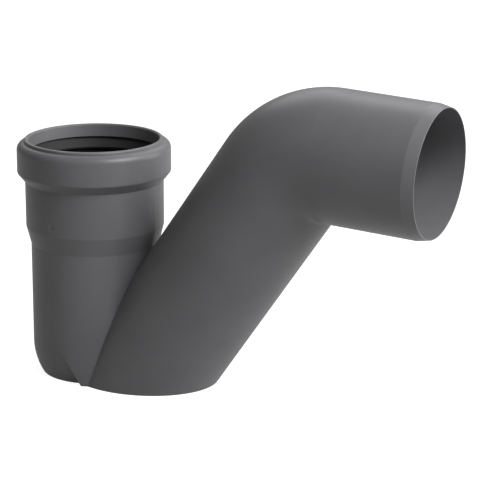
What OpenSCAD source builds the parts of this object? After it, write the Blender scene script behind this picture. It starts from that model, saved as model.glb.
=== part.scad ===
// Horizontal p-trap for a 110 mm push-fit waste pipe, in millimetres.
// One moulded body with a push-fit socket at the inlet, a straight leg down to a flat base,
// a slanted limb back up to a tight elbow, and a plain spigot at the outlet. A rubber lip
// seal sits in the groove of the socket's collar.
// Z is the axis of the inlet, and z = 0 is where the socket's bore starts, just under the rim.
// The limb and the outlet leave towards +X, and the trap is the same on both sides of y = 0.

/* [Pipe] */
// Outside diameter of the leg, the limb and the spigot
pipe_od = 110; // [104:0.5:114]
// Wall thickness of the leg, the limb and the spigot
pipe_wall = 2.7; // [2:0.1:3.6]

/* [Inlet socket] */
// How much wider the bore is than the pipe that goes into it
bore_slack = 0.8; // [0.4:0.1:1.2]
// Wall thickness of the socket
socket_wall = 3.6; // [3:0.1:4.6]
// Depth from the rim to the start of the taper
socket_depth = 74.5; // [60:0.5:90]
// Height of the taper that narrows the socket to the pipe
taper_h = 15.5; // [10:0.5:22]
// Size of the bevel that leads the pipe into the bore
lead_in = 1; // [0.5:0.1:1.6]
// Radius on the outer edge of the rim
rim_round = 1; // [0.4:0.1:1.4]

/* [Collar and groove] */
// Height of the plain neck between the rim and the collar
neck_h = 2.5; // [2:0.1:5]
// How far the collar stands out from the socket, and the radius of its shoulder
collar_proud = 6.5; // [5:0.1:8]
// Height of the collar's straight side
collar_side = 19; // [15:0.5:26]
// Height of the bevel under the collar
collar_bevel = 8; // [6:0.5:12]
// Radius between the collar's side and its bevel
collar_round = 2.5; // [1:0.1:4]
// Depth from the rim to the top of the seal's groove
groove_depth = 11; // [9:0.5:14]

/* [Lip seal] */
// Gap between the seal and the walls of its groove
seal_gap = 0.2; // [0.1:0.05:0.4]
// Thickness of the seal's outer band
seal_band = 3.2; // [2:0.1:3.8]
// Height of the seal's outer band
seal_h = 15; // [12:0.5:16]
// How far the lip reaches into the bore
lip_reach = 2.6; // [1:0.1:4]
// Height over which the lip slants inwards
lip_drop = 7; // [5:0.5:8]
// Thickness of the lip
lip_t = 1.7; // [1:0.1:2.4]

/* [Leg and base] */
// Depth from the rim to the underside of the flat base
trap_depth = 204; // [190:1:230]
// Thickness of the flat base
base_wall = 3; // [2:0.1:5]
// Height of the rounded heel's centre over the underside of the base
heel_rise = 27.5; // [20:0.5:40]
// Slant, from the horizontal, of the line where the rounded heel stops beside the limb
heel_slant = 58; // [45:1:75]
// How far that line starts behind the inlet's axis
heel_back = 2; // [0:0.5:6]

/* [Limb and outlet] */
// Rise of the limb from the horizontal, in degrees
limb_angle = 55; // [52:0.5:60]
// Distance from the inlet's axis to the limb's axis, at the underside of the base
limb_foot = 46.2; // [40:0.2:56]
// Radius of the elbow, on the axis of the pipe
elbow_r = 55.5; // [55.5:0.5:70]
// How much fuller the elbow is than the straight pipe outside, on the radius
elbow_full = 0.05; // [0.05:0.01:0.2]
// How much wider the elbow is than the straight pipe inside, on the radius
elbow_wide = 0.3; // [0.2:0.05:0.4]
// Fall of the outlet below the horizontal, in degrees
outlet_fall = 3; // [1:0.5:5]
// Distance from the inlet's axis to the outlet's end, on its axis
outlet_reach = 316.4; // [300:0.2:350]
// Height of the outlet's end over the rim, on its axis
outlet_rise = 3; // [-15:0.5:15]
// Length of the bevel at the end of the spigot
spigot_bevel = 10; // [5:0.5:14]
// Depth of the bevel at the end of the spigot
spigot_bevel_t = 2; // [1:0.1:2.2]

/* [Gate mark] */
// Diameter of the shallow dimple in the side of the socket
dimple_d = 7; // [4:0.5:9]
// Depth of the dimple
dimple_t = 0.9; // [0.4:0.1:1.4]
// Height of the dimple's centre over the start of the taper
dimple_up = 8.5; // [6:0.5:14]
// Direction in which the dimple faces, in degrees from +X
dimple_turn = -97; // [-180:1:180]

/* [Hidden] */
$fn = 96;

body_grey = "#6c6f73";
seal_black = "#1d1d1e";
far = 400;

// Radii of the pipe, the socket, the collar and the groove
pipe_r = pipe_od / 2;
pipe_in_r = pipe_r - pipe_wall;
bore_r = (pipe_od + bore_slack) / 2;
socket_r = bore_r + socket_wall;
collar_r = socket_r + collar_proud;
groove_r = collar_r - socket_wall;

// Levels, from the rim down
rim_z = lead_in;
shoulder_z = rim_z - neck_h - collar_proud;
side_end_z = shoulder_z - collar_side;
bevel_end_z = side_end_z - collar_bevel;
taper_z = rim_z - socket_depth;
leg_z = taper_z - taper_h;
base_z = rim_z - trap_depth;
heel_z = base_z + heel_rise;

// The collar's bevel leans in by this angle from the vertical, and the groove's lower flank
// runs parallel to it, one wall thickness inside
bevel_lean = atan2(collar_proud, collar_bevel);
bevel_slope = collar_bevel / collar_proud;
flank_in = socket_wall / cos(bevel_lean);
groove_z = rim_z - groove_depth;
flank_z = side_end_z - (collar_r - flank_in - groove_r) * bevel_slope;
flank_end_z = flank_z - (groove_r - bore_r) * bevel_slope;

// The limb's and the outlet's axes, as unit vectors and points in the XZ plane. The elbow's
// centre lies one elbow radius under both axes.
limb_dir = [cos(limb_angle), sin(limb_angle)];
limb_under = [sin(limb_angle), -cos(limb_angle)];
out_dir = [cos(outlet_fall), -sin(outlet_fall)];
out_under = [-sin(outlet_fall), -cos(outlet_fall)];
foot = [limb_foot, base_z];
out_end = [outlet_reach, rim_z + outlet_rise];
function cross2(a, b) = a[0] * b[1] - a[1] * b[0];
limb_line = foot + elbow_r * limb_under;
out_line = out_end + elbow_r * out_under;
limb_run = cross2(out_line - limb_line, out_dir) / cross2(limb_dir, out_dir);
elbow_c = limb_line + limb_run * limb_dir;
spigot_run = (out_end - (elbow_c - elbow_r * out_under)) * out_dir;
elbow_turn = limb_angle + outlet_fall;
elbow_lap = 0.2;

// Places what follows at a point of the XZ plane, with its Z axis along a rise from +X
module along(p, rise) {
    translate([p[0], 0, p[1]]) rotate([0, 90 - rise, 0]) children();
}

// The half plane right of the axis between two levels, for trimming an outline
module band(low, high, wide) {
    translate([0, low]) square([wide, high - low]);
}

// A sector of a disc, from its lower angle to its upper one, less than 180 degrees apart
module pie(r, low, high) {
    intersection() {
        circle(r);
        polygon([[0, 0], 2 * r * [cos(low), sin(low)], 3 * r * [cos((low + high) / 2), sin((low + high) / 2)],
            2 * r * [cos(high), sin(high)]]);
    }
}

// Outline of the socket's outside, right of the axis: rounded rim, neck, collar and taper
module socket_outline() {
    round_run = collar_round * tan(bevel_lean / 2);
    band(taper_z, rim_z - rim_round, socket_r);
    band(taper_z, rim_z, socket_r - rim_round);
    translate([socket_r - rim_round, rim_z - rim_round]) pie(rim_round, 0, 90);
    translate([socket_r, shoulder_z]) pie(collar_proud, 0, 90);
    translate([collar_r - collar_round, side_end_z + round_run]) pie(collar_round, -bevel_lean, 0);
    polygon([
        [0, shoulder_z], [collar_r, shoulder_z],
        [collar_r, side_end_z + round_run], [collar_r - collar_round, side_end_z + round_run],
        [collar_r - round_run * sin(bevel_lean), side_end_z - round_run * cos(bevel_lean)],
        [socket_r, bevel_end_z], [0, bevel_end_z]
    ]);
    polygon([[0, taper_z], [socket_r, taper_z], [pipe_r, leg_z], [0, leg_z]]);
}

// Outline of the hollow inside the socket: lead-in, bore, seal groove and inner taper
module bore_outline() {
    polygon([
        [0, rim_z + 1], [bore_r + lead_in + 1, rim_z + 1], [bore_r, 0], [bore_r, groove_z],
        [groove_r, groove_z], [groove_r, flank_z], [bore_r, flank_end_z],
        [bore_r, taper_z], [pipe_in_r, leg_z], [0, leg_z]
    ]);
}

// Outline of the leg below the socket, rounded at the heel and cut off at a floor
module leg_outline(r, floor_z) {
    band(heel_z, leg_z, r);
    intersection() {
        translate([0, heel_z]) circle(r);
        band(floor_z, heel_z, r);
    }
}

// The pipe's run from the foot of the limb to the outlet, as a solid of one radius. Both
// straight runs reach a little way into the elbow, whose tube is a trace fuller.
module limb_run_solid(r, full, past) {
    start = -(pipe_od + limb_foot);
    along(foot, limb_angle) translate([0, 0, start])
        cylinder(r = r, h = limb_run + elbow_lap - start);
    translate([elbow_c[0], 0, elbow_c[1]]) rotate([90, 0, 0])
        rotate_extrude(angle = elbow_turn, start = 90 - outlet_fall)
            translate([elbow_r, 0]) circle(r + full);
    along(elbow_c - elbow_r * out_under, -outlet_fall) translate([0, 0, -elbow_lap])
        rotate(180) cylinder(r = r, h = spigot_run + elbow_lap + past);
}

// The straight stretch of the leg's wall that runs down to the base beside the limb
module heel_web() {
    intersection() {
        translate([0, 0, base_z]) cylinder(r = pipe_r, h = heel_rise);
        translate([-heel_back, 0, heel_z]) rotate([0, heel_slant - 90, 0])
            translate([0, -far / 2, -far / 2]) cube(far);
    }
}

// The outside of the trap, filled solid
module trap_outside() {
    rotate_extrude() union() {
        socket_outline();
        leg_outline(pipe_r, base_z);
    }
    heel_web();
    intersection() {
        limb_run_solid(pipe_r, elbow_full, 0);
        translate([-far / 2, -far / 2, base_z]) cube([2 * far, far, far]);
    }
}

// The water's way through the trap
module trap_hollow() {
    floor_z = base_z + base_wall;
    rotate_extrude() union() {
        bore_outline();
        leg_outline(pipe_in_r, floor_z);
    }
    intersection() {
        limb_run_solid(pipe_in_r, elbow_wide, 1);
        translate([-far / 2, -far / 2, floor_z]) cube([2 * far, far, far]);
    }
}

// The ring that is cut away to bevel the end of the spigot. Its cone runs on past both ends.
module spigot_bevel_cut() {
    lean = spigot_bevel_t / spigot_bevel;
    along(out_end, -outlet_fall) rotate_extrude() polygon([
        [pipe_r + lean, -spigot_bevel - 1],
        [pipe_r + 2, -spigot_bevel - 1],
        [pipe_r + 2, 1],
        [pipe_r - spigot_bevel_t - lean, 1]
    ]);
}

// The shallow dimple that the gate leaves in the side of the socket
module dimple_cut() {
    ball_r = (dimple_d * dimple_d / 4 + dimple_t * dimple_t) / (2 * dimple_t);
    rotate([0, 0, dimple_turn]) translate([socket_r - dimple_t + ball_r, 0, taper_z + dimple_up])
        sphere(ball_r);
}

module trap_body() {
    color(body_grey) difference() {
        trap_outside();
        trap_hollow();
        spigot_bevel_cut();
        dimple_cut();
    }
}

module lip_seal() {
    ring_r = groove_r - seal_gap;
    band_r = ring_r - seal_band;
    top_z = groove_z - seal_gap;
    low_z = top_z - seal_h;
    tip_r = bore_r - lip_reach;
    root_z = top_z - lip_t;
    tip_z = root_z - lip_drop;
    bead = seal_band / 3;
    color(seal_black) rotate_extrude() polygon([
        [ring_r, top_z], [band_r, top_z], [band_r - lip_t / 2, root_z],
        [tip_r, tip_z], [tip_r + lip_t / 2, tip_z - lip_t],
        [band_r, root_z - lip_t], [band_r, low_z + 3 * bead],
        [band_r - bead, low_z + 2 * bead], [band_r - bead, low_z + bead], [band_r, low_z],
        [ring_r, low_z]
    ]);
}

trap_body();
lip_seal();
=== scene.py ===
"""The looks of a horizontal p-trap: its two finishes, its light and its camera.

The trap is one moulded body in satin grey polypropylene with a black rubber lip seal in the
collar of its inlet. Lengths are in metres and angles in degrees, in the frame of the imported
model: +Z up along the inlet's axis and +X towards the outlet.
"""
from __future__ import annotations

import logging
import math
from dataclasses import dataclass, field
from enum import Enum
from typing import ClassVar

import bpy
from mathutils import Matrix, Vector


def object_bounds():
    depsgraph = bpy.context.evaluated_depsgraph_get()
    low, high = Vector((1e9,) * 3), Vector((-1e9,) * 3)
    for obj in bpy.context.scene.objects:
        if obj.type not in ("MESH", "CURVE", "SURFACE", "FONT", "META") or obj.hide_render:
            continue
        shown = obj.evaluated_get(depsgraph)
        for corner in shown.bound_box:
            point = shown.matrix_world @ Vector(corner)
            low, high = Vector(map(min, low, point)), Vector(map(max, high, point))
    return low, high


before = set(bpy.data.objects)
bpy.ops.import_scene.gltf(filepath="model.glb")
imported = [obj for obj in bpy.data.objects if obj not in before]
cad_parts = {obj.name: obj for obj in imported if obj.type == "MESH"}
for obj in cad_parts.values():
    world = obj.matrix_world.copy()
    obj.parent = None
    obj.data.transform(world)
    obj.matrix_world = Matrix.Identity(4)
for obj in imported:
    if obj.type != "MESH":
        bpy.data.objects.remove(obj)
CAD_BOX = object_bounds()

LOG = logging.getLogger("p_trap")

MM = 0.001

Colour = tuple[float, float, float, float]


def grey(level: float, blue: float = 0.0) -> Colour:
    """Gives a grey as scene-linear red, green, blue and alpha.

    Args:
        level: How light the grey is in linear light, from 0 to 1.
        blue: How far blue is raised over red and green, as a share of the level.

    Returns:
        The colour, opaque.
    """
    return (level, level, level * (1 + blue), 1.0)


class Coverage(Enum):
    """The outline of a lamp's panel."""

    SQUARE = "SQUARE"
    OBLONG = "RECTANGLE"


class NodeSheet:
    """A node tree with short calls for adding nodes and joining them."""

    def __init__(self, tree: bpy.types.NodeTree) -> None:
        """Takes a tree and clears it.

        Args:
            tree: The material's or group's node tree.
        """
        self.tree = tree
        self.tree.nodes.clear()
        self.column = 0

    def add(self, kind: str, label: str = "", **settings: object) -> bpy.types.Node:
        """Adds a node, sets its properties and its unlinked inputs.

        Args:
            kind: The node's type, such as "ShaderNodeTexNoise".
            label: The name that the node shows.
            **settings: A property of the node, or an input by its name with
                spaces written as underscores.

        Returns:
            The new node.
        """
        node = self.tree.nodes.new(kind)
        node.label = label
        node.location = (self.column, 0)
        self.column += 180
        for name, value in settings.items():
            if hasattr(node, name):
                setattr(node, name, value)
            else:
                node.inputs[name.replace("_", " ")].default_value = value
        return node

    def join(self, source: bpy.types.NodeSocket, target: bpy.types.NodeSocket) -> None:
        """Links an output to an input."""
        self.tree.links.new(source, target)

    def blend(
        self, mask: bpy.types.NodeSocket, low: bpy.types.NodeSocket | Colour,
        high: bpy.types.NodeSocket | Colour, label: str = "",
    ) -> bpy.types.NodeSocket:
        """Mixes two colours by a mask.

        Args:
            mask: The share of the second colour.
            low: The first colour or the socket that gives it.
            high: The second colour or the socket that gives it.
            label: The name that the node shows.

        Returns:
            The mixed colour's socket.
        """
        node = self.tree.nodes.new("ShaderNodeMix")
        node.data_type = "RGBA"
        node.label = label
        self.join(mask, node.inputs[0])
        for value, socket in ((low, node.inputs[6]), (high, node.inputs[7])):
            if isinstance(value, tuple):
                socket.default_value = value
            else:
                self.join(value, socket)
        return node.outputs[2]

    def sum(
        self, first: bpy.types.NodeSocket, second: bpy.types.NodeSocket | float,
        operation: str = "ADD",
    ) -> bpy.types.NodeSocket:
        """Joins two values by one arithmetic step.

        Args:
            first: The first value's socket.
            second: The second value, or its socket.
            operation: The step, such as "ADD" or "MULTIPLY".

        Returns:
            The result's socket.
        """
        node = self.tree.nodes.new("ShaderNodeMath")
        node.operation = operation
        self.join(first, node.inputs[0])
        if isinstance(second, (int, float)):
            node.inputs[1].default_value = second
        else:
            self.join(second, node.inputs[1])
        return node.outputs[0]

    def ramp(
        self, value: bpy.types.NodeSocket, start: float, end: float, low: float, high: float,
    ) -> bpy.types.NodeSocket:
        """Maps a value's range to another one, smoothly and without overshoot.

        Args:
            value: The value's socket.
            start: The value that gives the low end.
            end: The value that gives the high end.
            low: The result at the start.
            high: The result at the end.

        Returns:
            The result's socket.
        """
        node = self.tree.nodes.new("ShaderNodeMapRange")
        node.interpolation_type = "SMOOTHSTEP"
        self.join(value, node.inputs["Value"])
        node.inputs["From Min"].default_value = start
        node.inputs["From Max"].default_value = end
        node.inputs["To Min"].default_value = low
        node.inputs["To Max"].default_value = high
        return node.outputs["Result"]


@dataclass(frozen=True)
class SurfaceGrain:
    """The fine texture that a steel mould leaves, shared by both finishes.

    The group gives a cloud that varies slowly, a fine grain and a height for a Bump node.
    """

    name: str = "surface_grain"
    cloud_scale: float = 16.0
    cloud_detail: float = 5.0
    grain_scale: float = 2600.0
    grain_detail: float = 3.0
    wave_scale: float = 60.0
    wave_detail: float = 2.0
    wave_share: float = 0.35

    def build(self) -> bpy.types.NodeTree:
        """Builds the node group once.

        Returns:
            The group's tree, with the inputs Grain scale and Vector, and the outputs
            Cloud, Grain and Height.
        """
        tree = bpy.data.node_groups.new(self.name, "ShaderNodeTree")
        sheet = NodeSheet(tree)
        tree.interface.new_socket("Vector", in_out="INPUT", socket_type="NodeSocketVector")
        scale = tree.interface.new_socket("Grain scale", in_out="INPUT", socket_type="NodeSocketFloat")
        scale.default_value = self.grain_scale
        for name in ("Cloud", "Grain", "Height"):
            tree.interface.new_socket(name, in_out="OUTPUT", socket_type="NodeSocketFloat")
        enters = sheet.add("NodeGroupInput")
        leaves = sheet.add("NodeGroupOutput")
        cloud = sheet.add("ShaderNodeTexNoise", "slow cloud", Scale=self.cloud_scale, Detail=self.cloud_detail)
        grain = sheet.add("ShaderNodeTexNoise", "fine grain", Detail=self.grain_detail)
        waves = sheet.add("ShaderNodeTexNoise", "soft waves", Scale=self.wave_scale, Detail=self.wave_detail)
        for node in (cloud, grain, waves):
            sheet.join(enters.outputs["Vector"], node.inputs["Vector"])
        sheet.join(enters.outputs["Grain scale"], grain.inputs["Scale"])
        height = sheet.sum(sheet.sum(waves.outputs[0], self.wave_share, "MULTIPLY"), grain.outputs[0])
        sheet.join(cloud.outputs[0], leaves.inputs["Cloud"])
        sheet.join(grain.outputs[0], leaves.inputs["Grain"])
        sheet.join(height, leaves.inputs["Height"])
        return tree


class Finish:
    """What every finish shares: a material with one Principled shader and the grain group."""

    def start(self, name: str, grain: bpy.types.NodeTree, scale: float) -> None:
        """Makes the material, its shader, its coordinates and its grain.

        Args:
            name: The material's name.
            grain: The shared grain group.
            scale: How fine the grain is, in cells per metre.
        """
        self.material = bpy.data.materials.new(name)
        self.material.use_nodes = True
        self.sheet = NodeSheet(self.material.node_tree)
        self.place = self.sheet.add("ShaderNodeTexCoord").outputs["Object"]
        self.grain = self.sheet.add("ShaderNodeGroup", "grain")
        self.grain.node_tree = grain
        self.sheet.join(self.place, self.grain.inputs["Vector"])
        self.grain.inputs["Grain scale"].default_value = scale
        self.shader = self.sheet.add("ShaderNodeBsdfPrincipled")
        output = self.sheet.add("ShaderNodeOutputMaterial")
        self.sheet.join(self.shader.outputs["BSDF"], output.inputs["Surface"])

    def bump(self, height: bpy.types.NodeSocket, depth: float, round_r: float) -> None:
        """Gives the shader a bumped normal with slightly rounded edges.

        Args:
            height: The height's socket.
            depth: How deep the texture is, in metres.
            round_r: The radius that breaks the sharp edges, in metres.
        """
        edge = self.sheet.add("ShaderNodeBevel", "broken edges", samples=6, Radius=round_r)
        node = self.sheet.add("ShaderNodeBump", "moulded surface", Distance=depth, Strength=1.0)
        self.sheet.join(edge.outputs["Normal"], node.inputs["Normal"])
        self.sheet.join(height, node.inputs["Height"])
        self.sheet.join(node.outputs["Normal"], self.shader.inputs["Normal"])


@dataclass(frozen=True)
class GreyPolypropylene:
    """Satin grey polypropylene, as moulded."""

    colour: Colour = grey(0.124, 0.045)
    pale: Colour = grey(0.138, 0.045)
    refraction: float = 1.49
    roughness: float = 0.42
    roughness_swing: float = 0.07
    grain_scale: float = 2600.0
    grain_depth: float = 0.00002
    edge_r: float = 0.0004

    def build(self, grain: bpy.types.NodeTree) -> bpy.types.Material:
        """Builds the material.

        Args:
            grain: The shared grain group.

        Returns:
            The finished material.
        """
        finish = Finish()
        finish.start("grey_polypropylene", grain, self.grain_scale)
        sheet = finish.sheet
        cloud = sheet.ramp(finish.grain.outputs["Cloud"], 0.35, 0.65, 0.0, 1.0)
        sheet.join(sheet.blend(cloud, self.colour, self.pale, "flow of the melt"),
                   finish.shader.inputs["Base Color"])
        rough = sheet.ramp(finish.grain.outputs["Grain"], 0.3, 0.7,
                           self.roughness - self.roughness_swing, self.roughness + self.roughness_swing)
        sheet.join(rough, finish.shader.inputs["Roughness"])
        finish.shader.inputs["IOR"].default_value = self.refraction
        finish.bump(finish.grain.outputs["Height"], self.grain_depth, self.edge_r)
        return finish.material


@dataclass(frozen=True)
class BlackRubber:
    """Matt black rubber of the lip seal."""

    colour: Colour = grey(0.007)
    dusty: Colour = grey(0.013)
    roughness: float = 0.75
    roughness_swing: float = 0.08
    grain_scale: float = 3400.0
    grain_depth: float = 0.00003
    edge_r: float = 0.0003

    def build(self, grain: bpy.types.NodeTree) -> bpy.types.Material:
        """Builds the material.

        Args:
            grain: The shared grain group.

        Returns:
            The finished material.
        """
        finish = Finish()
        finish.start("black_rubber", grain, self.grain_scale)
        sheet = finish.sheet
        cloud = sheet.ramp(finish.grain.outputs["Cloud"], 0.3, 0.7, 0.0, 1.0)
        sheet.join(sheet.blend(cloud, self.colour, self.dusty, "bloom"), finish.shader.inputs["Base Color"])
        rough = sheet.ramp(finish.grain.outputs["Grain"], 0.3, 0.7,
                           self.roughness - self.roughness_swing, self.roughness + self.roughness_swing)
        sheet.join(rough, finish.shader.inputs["Roughness"])
        finish.bump(finish.grain.outputs["Height"], self.grain_depth, self.edge_r)
        return finish.material


@dataclass
class Trap:
    """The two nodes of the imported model, which keep their shape and get their finishes."""

    body: str = "trap_body"
    seal: str = "lip_seal"
    plastic: GreyPolypropylene = field(default_factory=GreyPolypropylene)
    rubber: BlackRubber = field(default_factory=BlackRubber)

    def dress(self, node: str, material: bpy.types.Material) -> None:
        """Puts a material into the slots of a node's object.

        Args:
            node: The node's name.
            material: The material.
        """
        item = bpy.data.objects[node]
        if not item.material_slots:
            item.data.materials.append(None)
        for place in item.material_slots:
            place.material = material
        LOG.info("dressed %s in %s", node, material.name)

    def build(self) -> None:
        """Builds the finishes and dresses both nodes."""
        grain = SurfaceGrain().build()
        self.dress(self.body, self.plastic.build(grain))
        self.dress(self.seal, self.rubber.build(grain))


@dataclass
class Floor:
    """A plain pale floor, white to the camera but for the object's shadow."""

    side: float = 12.0
    albedo: float = 0.35
    camera_glow: float = 0.92
    glossy_glow: float = 0.28

    def build(self) -> bpy.types.Object:
        """Adds the plane under the object.

        Returns:
            The floor.
        """
        bpy.ops.object.select_all(action="DESELECT")
        bpy.ops.mesh.primitive_plane_add(size=self.side, location=(0, 0, CAD_BOX[0][2]))
        floor = bpy.context.object
        floor.name = "floor"
        floor.data.materials.append(self.surface())
        return floor

    def surface(self) -> bpy.types.Material:
        """Builds the floor's material.

        Returns:
            A matt surface with a white glow that only the camera and reflections see, so
            that it comes out white outside the object's shadow.
        """
        material = bpy.data.materials.new("floor_white")
        material.use_nodes = True
        sheet = NodeSheet(material.node_tree)
        matt = sheet.add("ShaderNodeBsdfDiffuse", Color=grey(self.albedo))
        white = sheet.add("ShaderNodeEmission", Color=grey(1.0))
        path = sheet.add("ShaderNodeLightPath")
        seen = sheet.sum(path.outputs["Is Camera Ray"], path.outputs["Is Transmission Ray"], "MAXIMUM")
        seen = sheet.sum(seen, self.camera_glow, "MULTIPLY")
        mirrored = sheet.sum(path.outputs["Is Glossy Ray"], self.glossy_glow, "MULTIPLY")
        sheet.join(sheet.sum(seen, mirrored, "MAXIMUM"), white.inputs["Strength"])
        both = sheet.add("ShaderNodeAddShader")
        output = sheet.add("ShaderNodeOutputMaterial")
        sheet.join(matt.outputs[0], both.inputs[0])
        sheet.join(white.outputs[0], both.inputs[1])
        sheet.join(both.outputs[0], output.inputs["Surface"])
        return material


@dataclass(frozen=True)
class Softbox:
    """One soft lamp, aimed at a point of the object."""

    name: str
    azimuth: float
    elevation: float
    distance: float
    width: float
    height: float
    watts: float
    aim: tuple[float, float, float] = (0.13, 0.0, -0.07)

    @property
    def outline(self) -> Coverage:
        """The panel's outline, from its two sides."""
        return Coverage.SQUARE if self.width == self.height else Coverage.OBLONG

    def build(self) -> None:
        """Adds the lamp at its place and turns it to its aim."""
        data = bpy.data.lights.new(self.name, "AREA")
        data.shape = self.outline.value
        data.size = self.width
        if self.outline is Coverage.OBLONG:
            data.size_y = self.height
        data.energy = self.watts
        lamp = bpy.data.objects.new(self.name, data)
        bpy.context.scene.collection.objects.link(lamp)
        turn, rise = math.radians(self.azimuth), math.radians(self.elevation)
        way = Vector((math.sin(turn) * math.cos(rise), -math.cos(turn) * math.cos(rise), math.sin(rise)))
        lamp.location = Vector(self.aim) + self.distance * way
        lamp.rotation_euler = (-way).to_track_quat("-Z", "Y").to_euler()


@dataclass
class Studio:
    """The lamps and the even light of the surroundings."""

    ambient: float = 0.21
    glossy_share: float = 0.1
    lamps: ClassVar[tuple[Softbox, ...]] = (
        Softbox("key", 75.0, 42.0, 1.9, 1.0, 1.0, 37.0),
        Softbox("side", 100.0, 25.0, 1.9, 1.0, 1.0, 11.0),
        Softbox("low side", 120.0, 15.0, 1.9, 1.0, 1.0, 18.0),
        Softbox("behind", 180.0, 45.0, 1.9, 1.0, 1.0, 5.5),
        Softbox("far left", -140.0, 40.0, 1.9, 1.0, 1.0, 5.5),
    )

    def build(self) -> None:
        """Adds the lamps and sets the world."""
        for lamp in self.lamps:
            lamp.build()
        world = bpy.data.worlds.new("studio")
        bpy.context.scene.world = world
        world.use_nodes = True
        sheet = NodeSheet(world.node_tree)
        even = sheet.add("ShaderNodeBackground", Color=grey(1.0), Strength=self.ambient)
        white = sheet.add("ShaderNodeBackground", Color=grey(1.0), Strength=1.0)
        path = sheet.add("ShaderNodeLightPath")
        seen = sheet.sum(path.outputs["Is Camera Ray"], path.outputs["Is Transmission Ray"], "MAXIMUM")
        seen = sheet.sum(seen, sheet.sum(path.outputs["Is Glossy Ray"], self.glossy_share, "MULTIPLY"), "MAXIMUM")
        mix = sheet.add("ShaderNodeMixShader")
        output = sheet.add("ShaderNodeOutputWorld")
        sheet.join(seen, mix.inputs[0])
        sheet.join(even.outputs[0], mix.inputs[1])
        sheet.join(white.outputs[0], mix.inputs[2])
        sheet.join(mix.outputs[0], output.inputs["Surface"])


@dataclass(frozen=True)
class PhotoCamera:
    """The camera of the photograph, found by fitting the part's edges to it."""

    azimuth: float = 27.5533
    elevation: float = 15.2167
    place: tuple[float, float, float] = (935.56 * MM, -1523.36 * MM, 395.13 * MM)
    focal_pixels: float = 2151.97
    image_pixels: int = 482
    sensor_mm: float = 36.0

    def build(self) -> None:
        """Adds the camera and makes it the scene's own."""
        data = bpy.data.cameras.new("camera")
        data.sensor_width = self.sensor_mm
        data.lens = self.sensor_mm * self.focal_pixels / self.image_pixels
        data.clip_end = 60.0
        camera = bpy.data.objects.new("camera", data)
        bpy.context.scene.collection.objects.link(camera)
        camera.location = self.place
        camera.rotation_euler = (math.radians(90 - self.elevation), 0.0, math.radians(self.azimuth))
        bpy.context.scene.camera = camera


def main() -> None:
    """Builds the scene."""
    logging.basicConfig(level=logging.INFO, format="%(message)s")
    Trap().build()
    Floor().build()
    Studio().build()
    PhotoCamera().build()
    bpy.context.scene.view_settings.view_transform = "Standard"


if __name__ == "__main__":
    main()
